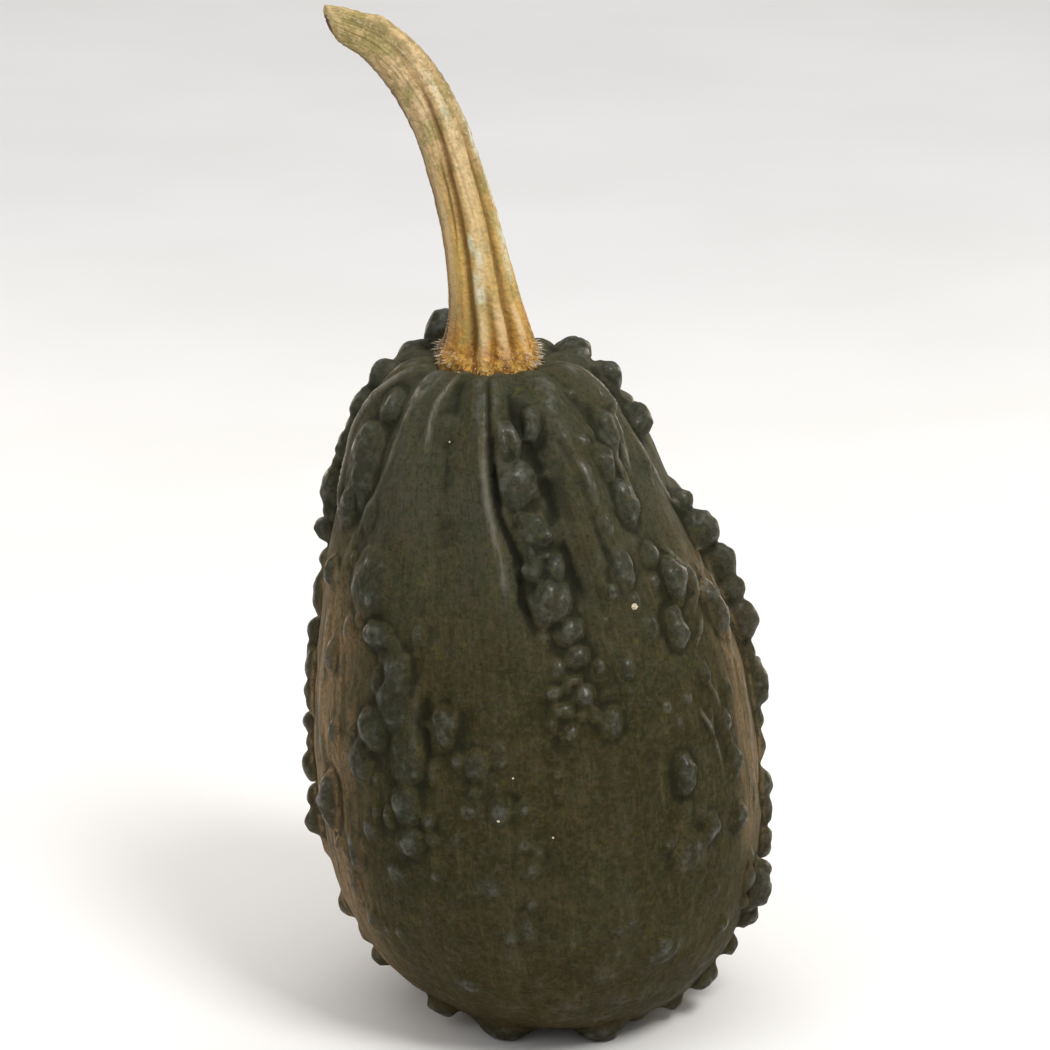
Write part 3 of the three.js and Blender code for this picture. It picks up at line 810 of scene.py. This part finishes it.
def stem_section(along, angle):
    """Radius of the stem at a fraction of its length and an angle round it."""
    draw = np.random.default_rng(3)
    radius = stem_radius(along) * (1 - furrow_depth(along, angle)) * foot_reach(angle, along)
    fibres = np.zeros(radius.shape)
    for count in (13, 19, 26, 33, 41):
        drift = draw.uniform(-6, 6)
        phase = draw.uniform(0, math.tau)
        fibres += np.cos(count * angle + drift * along * 3 + phase)
    radius -= 0.045 * (fibres + 2) * ease(0.05, 0.15, along)
    foot = 1 - ease(0.07, 0.14, along)
    knots = np.sin(29 * angle + 60 * along) * np.sin(70 * along - 11 * angle + 1.7)
    radius += 0.2 * foot * (knots - 0.6)
    middle, right, front, _ = stem_frame(along)
    skin = middle + radius[..., None] * (
        right * np.sin(angle)[..., None] + front * np.cos(angle)[..., None])
    rough = 0.03 + 0.03 * ease(0.45, 0.8, along)
    radius += rough * ripple(skin, 1.3, 41) + 0.04 * ripple(skin, 5.0, 42)
    for rise, at, half_length, around, half_width in STEM_LUMPS:
        beside = (angle - math.radians(around)) / half_width
        radius += rise * np.exp(-((along - at) / half_length) ** 2 - beside**2)
    return radius * (1 - 0.2 * ease(0.97, 1.0, along) ** 2)


def make_stem():
    along = np.linspace(0, 1, STEM_STEPS)[:, None]
    angle = np.linspace(-math.pi, math.pi, STEM_ROUND, endpoint=False)[None, :]
    radius = stem_section(along, angle)
    cap = np.linspace(1, 0, STEM_CAP)[1:-1, None]
    fill = np.vstack([np.ones((STEM_STEPS, 1)), cap])
    along = np.vstack([along, np.ones((STEM_CAP - 2, 1))])
    radius = np.vstack([radius, cap * radius[-1:]])
    middle, right, front, forward = stem_frame(along)
    rough = 0.16 * np.cos(9 * angle + 5 * fill) * fill * (1 - fill) * 4
    dish = np.where(fill < 1, STEM_CUT_DISH * (1 - fill**2) + rough, 0)
    last = ease(0.93, 1.0, along)
    lean = STEM_CUT_SLANT * np.sin(angle) - STEM_CUT_TURN * np.cos(angle)
    slant = lean * fill * last**2 + dish
    grid = middle + right * (radius * np.sin(angle))[..., None]
    grid = grid + front * (radius * np.cos(angle))[..., None] + forward * slant[..., None]
    ends = [middle[0, 0], middle[-1, 0] + forward[-1, 0] * STEM_CUT_DISH]
    points = np.vstack([grid.reshape(-1, 3), ends])
    faces = ring_faces(0, STEM_ROUND, len(grid), len(points) - 1, len(points) - 2)
    stem = make_object("gourd_stem", points, faces)
    keep_stem_marks(stem.data, *np.broadcast_arrays(along, angle, fill))
    return stem


def keep_stem_marks(mesh, along, angle, fill):
    """Keeps for the material what each point of the stem is part of."""

    def keep(name, values, low, top):
        store(mesh, name, np.append(values.ravel(), [low, top]))

    turned = angle - np.radians(stem_turn(along))
    keep("furrow", ease(0.02, 0.15, furrow_depth(along, angle)) * (fill > 0.99), 0, 0)
    keep("along", along, 0, 1)
    keep("cut", 1 - ease(0.3, 0.6, fill * (1 + 0.6 * np.sin(angle))), 0, 1)
    for name, patches in STEM_PATCHES.items():
        marks = np.zeros(along.shape)
        for at, around, half_length, half_width in patches:
            off = off_by(np.degrees(turned), around)
            patch = np.exp(-((along - at) / half_length) ** 4 - (off / half_width) ** 4)
            marks = np.maximum(marks, patch)
        keep(name, marks, 0, 0)
    # the stem as a squat column, on which noise turns into fibres
    radius, length = 5.5, 8.64
    squat = [np.sin(turned) * radius, np.cos(turned) * radius, along * length]
    grid = np.stack(squat, axis=-1).reshape(-1, 3)
    store(mesh, "unrolled", np.vstack([grid, [(0, 0, 0), (0, 0, length)]]))


# Hairs as (how many, the fractions of the stem's length between which they stand, a power that
# draws them together, their tilt, how much shorter they are in front, length, half thickness).
BRISTLES = [
    (300, (0.02, 0.08), 1, (-0.45, 0.25), 0.6, (0.9, 2.2), 0.07),
    (400, (0.08, 0.55), 1.2, (-0.2, 0.6), 0, (0.3, 0.6), 0.04),
]


def bristle(base, direction, droop, length, thick):
    """Points of a thin, bent hair: two rings of three, and its tip."""
    side, over = cross_axes(direction, [0.3, 0.2, 1.0])
    points = []
    for share in (0.0, 0.55):
        centre = base + direction * length * share + droop * share**2
        points += ring(centre, side, over, [thick * (1 - 0.45 * share)] * 3)
    return points + [base + direction * length + droop]


def make_bristles():
    """Pale hairs round the stem's foot, and shorter ones up its ribs."""
    draw = np.random.default_rng(8)
    points, faces = [], []
    for count, span, power, tilts, less_in_front, lengths, thick in BRISTLES:
        for _ in range(count):
            along = draw.uniform(*span) ** power
            angle = draw.uniform(-math.pi, math.pi)
            middle, right, front, forward = stem_frame(np.array([along]))
            outward = (right * math.sin(angle) + front * math.cos(angle))[0]
            radius = stem_section(np.array([[along]]), np.array([[angle]]))[0, 0]
            base = middle[0] + outward * (radius - 0.15)
            direction = outward + forward[0] * draw.uniform(*tilts)
            direction += np.cross(forward[0], outward) * draw.uniform(-0.3, 0.3)
            direction /= np.linalg.norm(direction)
            length = 1 - less_in_front * math.exp(-(angle / 0.9) ** 2)
            length *= draw.uniform(*lengths)
            droop = np.array([0, 0, -1.0]) * draw.uniform(0, 0.15) * length
            faces += ring_faces(len(points), 3, 2, len(points) + 6)
            points += bristle(base, direction, droop, length, thick)
    points = np.array(points)
    points[:, 2] = np.maximum(points[:, 2], STEM_LINE[0][2] + 0.2)
    return make_object("stem_bristles", points, faces)


# Dried specks on the skin as (azimuth, height, width), and the points round each one.
SPECKS = [
    (36, 90.3, 1.4), (-20.5, 119.8, 0.4), (-5, 61.5, 0.5), (-9, 53.5, 0.7), (4, 50, 0.5),
    (150, 97, 0.9), (205, 70, 0.6), (240, 112, 0.5), (120, 55, 0.6),
]
SPECK_ROUND = 12


def make_specks(fruit):
    """Low, uneven scabs that lie on the skin, with a point under each to close it."""
    tree = BVHTree.FromObject(fruit, bpy.context.evaluated_depsgraph_get())
    draw = np.random.default_rng(4)
    points, faces = [], []
    for azimuth, height, width in SPECKS:
        place, axes = skin_frame(azimuth, height)
        start = Vector((place + axes[2] * 12) * MM)
        hit, normal, _, _ = tree.ray_cast(start, Vector(-axes[2]))
        centre, out = np.array(hit) / MM, np.array(normal)
        side, over = cross_axes(out, [0, 0, 1.0])
        wobble = draw.uniform(0.8, 1.12, SPECK_ROUND)
        top = len(points) + 3 * SPECK_ROUND
        faces += ring_faces(len(points), SPECK_ROUND, 3, top, top + 1)
        for share, rise in ((1.0, -0.12), (0.8, 0.05), (0.45, 0.1)):
            level = centre + out * rise * min(1, width)
            points += ring(level, side, over, width / 2 * share * wobble)
        points += [centre + out * 0.15 * min(1, width), centre - out * 0.2]
    return make_object("skin_specks", points, faces)


# ---------- materials

def srgb(red, green, blue):
    """A colour as it looks on a screen, from 0 to 255, as Blender's linear light."""
    shares = [c / 255 for c in (red, green, blue)]
    return [s / 12.92 if s <= 0.04045 else ((s + 0.055) / 1.055) ** 2.4 for s in shares] + [1]


class Shader:
    """Short calls that build one material's nodes, and its colour as painted so far."""

    def __init__(self, name, tone):
        self.material = bpy.data.materials.new(name)
        self.material.use_nodes = True
        self.tree = self.material.node_tree
        self.tree.nodes.clear()
        output = self.tree.nodes.new("ShaderNodeOutputMaterial")
        self.surface = self.tree.nodes.new("ShaderNodeBsdfPrincipled")
        self.tree.links.new(self.surface.outputs[0], output.inputs[0])
        self.place = self.tree.nodes.new("ShaderNodeTexCoord").outputs["Object"]
        self.colour = tone

    def node(self, kind, inputs, **settings):
        node = self.tree.nodes.new("ShaderNode" + kind)
        for key, value in settings.items():
            setattr(node, key, value)
        for key, value in inputs.items():
            self.feed(node.inputs[key], value)
        return node

    def feed(self, socket, value):
        """Links a socket, or gives it a number or a tone as seen on a screen."""
        if isinstance(value, bpy.types.NodeSocket):
            self.tree.links.new(value, socket)
        else:
            socket.default_value = srgb(*value) if isinstance(value, tuple) else value

    def mark(self, name, kind="Fac"):
        """What the mesh keeps under a name."""
        return self.node("Attribute", {}, attribute_name=name).outputs[kind]

    def noise(self, place, scale, detail=4, roughness=0.55):
        made = self.node("TexNoise", {
            "Vector": place, "Scale": scale, "Detail": detail, "Roughness": roughness})
        return made.outputs["Fac"]

    def cells(self, scale):
        inputs = {"Vector": self.place, "Scale": scale}
        return self.node("TexVoronoi", inputs, feature="SMOOTH_F1").outputs["Distance"]

    def ramp(self, value, low, high, start=0, end=1):
        """Turns the span from low to high into the span from start to end, eased."""
        made = self.node("MapRange", {
            0: value, 1: low, 2: high, 3: start, 4: end}, interpolation_type="SMOOTHSTEP")
        return made.outputs[0]

    def maths(self, operation, a, b):
        return self.node("Math", {0: a, 1: b}, operation=operation).outputs[0]

    def times(self, *values):
        total = values[0]
        for value in values[1:]:
            total = self.maths("MULTIPLY", total, value)
        return total

    def mix(self, share, a, b):
        return self.node("Mix", {0: share, 6: a, 7: b}, data_type="RGBA").outputs[2]

    def paint(self, tone, *shares):
        """Lays a tone over the colour so far, as strongly as the product of the shares."""
        self.colour = self.mix(self.times(*shares), self.colour, tone)

    def dapple(self, tone, low, high, place, scale, detail, roughness, *shares):
        """Paints a tone where a noise is high, and none of it where the noise is low."""
        patches = self.ramp(self.noise(place, scale, detail, roughness), low, high)
        self.paint(tone, patches, *shares)

    def bump(self, height, distance, strength=1, under=None):
        inputs = {"Height": height, "Distance": distance, "Strength": strength}
        if under is not None:
            inputs["Normal"] = under
        return self.node("Bump", inputs).outputs[0]

    def finish(self, roughness, normal, **fixed):
        self.feed(self.surface.inputs["Base Color"], self.colour)
        self.feed(self.surface.inputs["Roughness"], roughness)
        self.feed(self.surface.inputs["Normal"], normal)
        for key, value in fixed.items():
            self.surface.inputs[key.replace("_", " ")].default_value = value
        return self.material


def skin_material():
    s = Shader("gourd_skin", (57, 45, 17))
    wart, hollow, ridge = s.mark("wart"), s.mark("hollow"), s.mark("ridge")
    crease, top, scar = s.mark("crease"), s.mark("top"), s.mark("scar")
    place, unrolled = s.place, s.mark("unrolled", "Vector")
    height = s.node("SeparateXYZ", {0: place}).outputs[2]

    # slow changes of colour up the fruit and across it
    s.paint((46, 42, 18), s.ramp(height, 0, 0.045))
    s.paint((62, 62, 48), s.ramp(height, 0.07, 0.112))
    s.dapple((47, 48, 29), 0.42, 0.66, place, 42, 3, 0.55, 0.6)
    s.dapple((74, 62, 36), 0.44, 0.7, place, 95, 3, 0.6, 0.3)
    # streaks that run down the skin
    s.dapple((78, 71, 45), 0.48, 0.7, unrolled, 0.5, 6, 0.7, 0.6)
    s.dapple((38, 37, 18), 0.48, 0.7, unrolled, 1.7, 4, 0.6, 0.5)
    # tan flanks, in lighter and darker streaks
    tan_streaks = s.ramp(s.noise(unrolled, 0.42, 5, 0.65), 0.36, 0.56, 0.25, 1)
    tan = s.mix(s.ramp(s.noise(unrolled, 1.1, 4, 0.6), 0.42, 0.62), (124, 106, 77), (151, 119, 84))
    s.paint(tan, s.mark("flank_tan"), s.ramp(wart, 0.1, 0.9, 1, 0.25), tan_streaks, 0.85)
    # warts are greyer and darker than the skin between them
    s.paint((40, 43, 34), wart, 0.55)
    # grains of dull brown, green and black all over
    s.dapple((78, 67, 53), 0.48, 0.6, place, 900, 3, 0.65, 0.32)
    s.dapple((44, 55, 27), 0.5, 0.6, place, 640, 4, 0.7, 0.3)
    s.dapple((28, 28, 14), 0.52, 0.64, place, 1200, 3, 0.7, 0.45)
    # pale blotches, partly waxy bloom and partly a painted highlight, most of all on the tops of
    # warts
    on_tops = s.ramp(top, 0, 1, 0.08, 0.32)
    s.dapple((102, 104, 94), 0.44, 0.7, place, 520, 5, 0.7, on_tops)
    # yellow-green flecks, in patches
    patches = s.ramp(s.noise(place, 60, 2), 0.42, 0.56)
    s.dapple((84, 84, 32), 0.54, 0.72, place, 420, 4, 0.65, patches, 0.35)
    # painted shade in creases, round the warts and in narrow furrows, and pale rims on the ridges,
    # partly their own colour and partly a painted highlight
    s.paint((22, 24, 14), crease, 0.7)
    s.paint((21, 20, 12), hollow, 0.85)
    s.dapple((138, 132, 118), 0.3, 0.55, unrolled, 0.9, 3, 0.55, ridge, 0.7)
    # paler skin where the stem joins, and the corky scar of the blossom
    s.paint((70, 67, 44), s.mark("seat"), 0.5)
    s.paint(s.mix(s.noise(place, 900), (120, 92, 58), (176, 146, 100)), scar)

    roughness = s.ramp(s.noise(place, 300), 0.3, 0.7, 0.64, 0.8)
    roughness = s.maths("SUBTRACT", roughness, s.times(wart, 0.12))
    roughness = s.maths("ADD", roughness, s.times(scar, 0.3))

    pebbles = s.times(s.cells(620), s.ramp(wart, 0.1, 0.9, 0.2, 1))
    normal = s.bump(s.maths("SUBTRACT", 1, pebbles), 0.0006, 0.75)
    normal = s.bump(s.noise(place, 520, 3), 0.0004, 0.6, normal)
    normal = s.bump(s.noise(unrolled, 2.4, 3, 0.5), 0.0002, 0.3, normal)
    normal = s.bump(s.noise(place, 1500, 3, 0.6), 0.0001, 0.4, normal)
    # a worn, waxy bloom makes the tops of the warts glint
    wax = s.ramp(s.noise(place, 380, 4, 0.65), 0.44, 0.6, 0.1, 1)
    s.feed(s.surface.inputs["Coat Weight"], s.times(wax, top, 0.8))
    return s.finish(
        roughness, normal, Specular_IOR_Level=0.08, Coat_Roughness=0.34, Coat_IOR=1.4)


def stem_material():
    s = Shader("dry_stem", (182, 130, 46))
    along, place, unrolled = s.mark("along"), s.place, s.mark("unrolled", "Vector")

    s.paint((198, 162, 90), s.ramp(along, 0.06, 0.32))
    s.paint((216, 188, 142), s.ramp(along, 0.4, 0.7))
    s.paint((198, 176, 124), s.ramp(along, 0.75, 0.97))
    # warm and olive stretches, and long fibres
    s.dapple((178, 134, 78), 0.48, 0.64, unrolled, 0.55, 3, 0.6, 0.5)
    s.dapple((148, 138, 76), 0.48, 0.6, place, 170, 4, 0.65, 0.65)
    fibres = s.noise(unrolled, 1.3, 5, 0.6)
    s.paint((140, 112, 66), s.ramp(fibres, 0.5, 0.72), 0.3)
    # pale ribs, olive-brown ribs and chalky patches
    s.paint((224, 196, 152), s.mark("pale"), 0.6)
    uneven = s.ramp(s.noise(place, 260, 5, 0.7), 0.34, 0.62, 0.2, 1)
    s.paint((122, 106, 64), s.mark("olive"), uneven, 0.85)
    grit = s.ramp(s.noise(place, 420, 4, 0.7), 0.36, 0.56, 0.15, 1)
    s.paint((216, 214, 186), s.mark("chalk"), grit, 0.85)
    # olive mottling towards the cut end
    s.dapple((130, 116, 70), 0.46, 0.58, place, 640, 4, 0.7, s.ramp(along, 0.3, 0.8), 0.5)
    # pale tops of the little warts, dark grains between them, and brown furrows
    warty = s.cells(1300)
    s.paint((222, 208, 170), s.ramp(warty, 0.34, 0.16), s.ramp(along, 0.2, 0.7, 0.1, 0.3))
    s.dapple((112, 90, 48), 0.54, 0.66, place, 1100, 3, 0.7, 0.28)
    s.paint((118, 82, 34), s.mark("furrow"), 0.75)
    # orange-brown foot with golden grains, up to a wandering line
    wool = s.ramp(s.noise(place, 620, 4, 0.7), 0.42, 0.6)
    line = s.maths("ADD", along, s.times(s.noise(unrolled, 0.35, 4, 0.65), 0.16))
    s.paint(s.mix(wool, (150, 98, 34), (214, 168, 82)), s.ramp(line, 0.22, 0.1), 0.85)
    # dark pith in the cut end
    s.paint(s.mix(s.noise(place, 1300), (70, 46, 38), (120, 92, 70)), s.mark("cut"))

    normal = s.bump(s.maths("SUBTRACT", 1, warty), 0.0005, 0.6)
    normal = s.bump(s.noise(place, 700, 5, 0.65), 0.0009, 0.7, normal)
    normal = s.bump(fibres, 0.0003, 0.4, normal)
    return s.finish(s.ramp(fibres, 0.3, 0.7, 0.62, 0.84), normal, Specular_IOR_Level=0.3)


def bristle_material():
    s = Shader("stem_hair", (218, 204, 168))
    shade = s.noise(s.place, 500, 2)
    s.paint((240, 232, 208), s.ramp(shade, 0.35, 0.65))
    normal = s.bump(s.noise(s.place, 3000), 0.00003)
    return s.finish(s.ramp(shade, 0.3, 0.7, 0.5, 0.7), normal, Specular_IOR_Level=0.4)


def speck_material():
    s = Shader("dried_specks", (168, 156, 124))
    shade = s.noise(s.place, 2500, 3)
    s.paint((226, 216, 188), s.ramp(shade, 0.35, 0.65))
    return s.finish(s.ramp(shade, 0.3, 0.7, 0.55, 0.75), s.bump(shade, 0.0001))


def floor_material():
    s = Shader("pale_floor", (236, 235, 233))
    shade = s.noise(s.place, 6, 3)
    s.paint((240, 239, 238), s.ramp(shade, 0.3, 0.7))
    normal = s.bump(s.noise(s.place, 900), 0.00005, 0.2)
    return s.finish(s.ramp(shade, 0.3, 0.7, 0.62, 0.7), normal, Specular_IOR_Level=0.2)


# ---------- floor, light and camera

# Middle of the view, and how the camera stands to it, in metres and degrees.
TARGET = Vector((-0.00625, 0.0, 0.0965))
CAMERA_DISTANCE, CAMERA_ELEVATION = 0.75, 18.0
VIEW_WIDTH, SENSOR = 0.1995, 36.0


def make_floor():
    half = 4000
    corners = [(-half, -half, 0), (half, -half, 0), (half, half, 0), (-half, half, 0)]
    floor = make_object("floor", corners, [(0, 1, 2, 3)])
    floor.data.materials.append(floor_material())


def aim(obj, azimuth, elevation, distance):
    """Puts an object round the target and turns it there; azimuth 90 is on the target's right."""
    turn, rise = math.radians(azimuth), math.radians(elevation)
    away = Vector((math.sin(turn) * math.cos(rise), -math.cos(turn) * math.cos(rise),
                   math.sin(rise)))
    obj.location = TARGET + away * distance
    obj.rotation_euler = (-away).to_track_quat("-Z", "Y").to_euler()


def make_light(name, azimuth, elevation, distance, size, power, colour, spread=180):
    light = bpy.data.lights.new(name, "AREA")
    light.size, light.energy, light.color = size, power, colour
    light.spread = math.radians(spread)
    aim(add_object(name, light), azimuth, elevation, distance)


def make_lights():
    make_light("overhead", 180, 82, 2.8, 4.0, 54.0, (1.0, 1.0, 1.0))
    make_light("key", 42, 52, 1.2, 0.36, 9.5, (1.0, 0.99, 0.97))
    make_light("fill", -55, 35, 1.3, 0.6, 2.0, (0.97, 0.98, 1.0))
    make_light("side_right", 140, 8, 0.8, 0.4, 0.35, (1.0, 0.86, 0.7), 70)
    make_light("side_left", -140, 8, 0.8, 0.4, 0.35, (1.0, 0.86, 0.7), 70)
    world = bpy.data.worlds.new("studio")
    world.use_nodes = True
    sky = world.node_tree.nodes["Background"]
    sky.inputs["Color"].default_value = (1.0, 1.0, 1.0, 1.0)
    sky.inputs["Strength"].default_value = 0.36
    bpy.context.scene.world = world


def make_camera():
    lens = bpy.data.cameras.new("camera")
    lens.sensor_width = SENSOR
    lens.lens = SENSOR * CAMERA_DISTANCE / VIEW_WIDTH
    lens.clip_start, lens.clip_end = 0.01, 30
    camera = add_object("camera", lens)
    aim(camera, 0, CAMERA_ELEVATION, CAMERA_DISTANCE)
    bpy.context.scene.camera = camera


# ---------- the scene

def add_piece(piece, material, slot, *nodes):
    """Gives a piece its material, ties it to the frame and hides the solids it stands for."""
    piece.data.materials.append(material)
    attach(piece, "root")
    if nodes:
        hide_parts(*nodes)


bpy.context.scene.view_settings.view_transform = "Standard"
make_camera()
make_floor()
make_lights()

fruit = make_fruit()
add_piece(make_specks(fruit), speck_material(), "gourd_skin")
add_piece(fruit, skin_material(), "gourd_skin", "fruit")
add_piece(make_stem(), stem_material(), "dry_stem", "stem")
add_piece(make_bristles(), bristle_material(), "dry_stem")
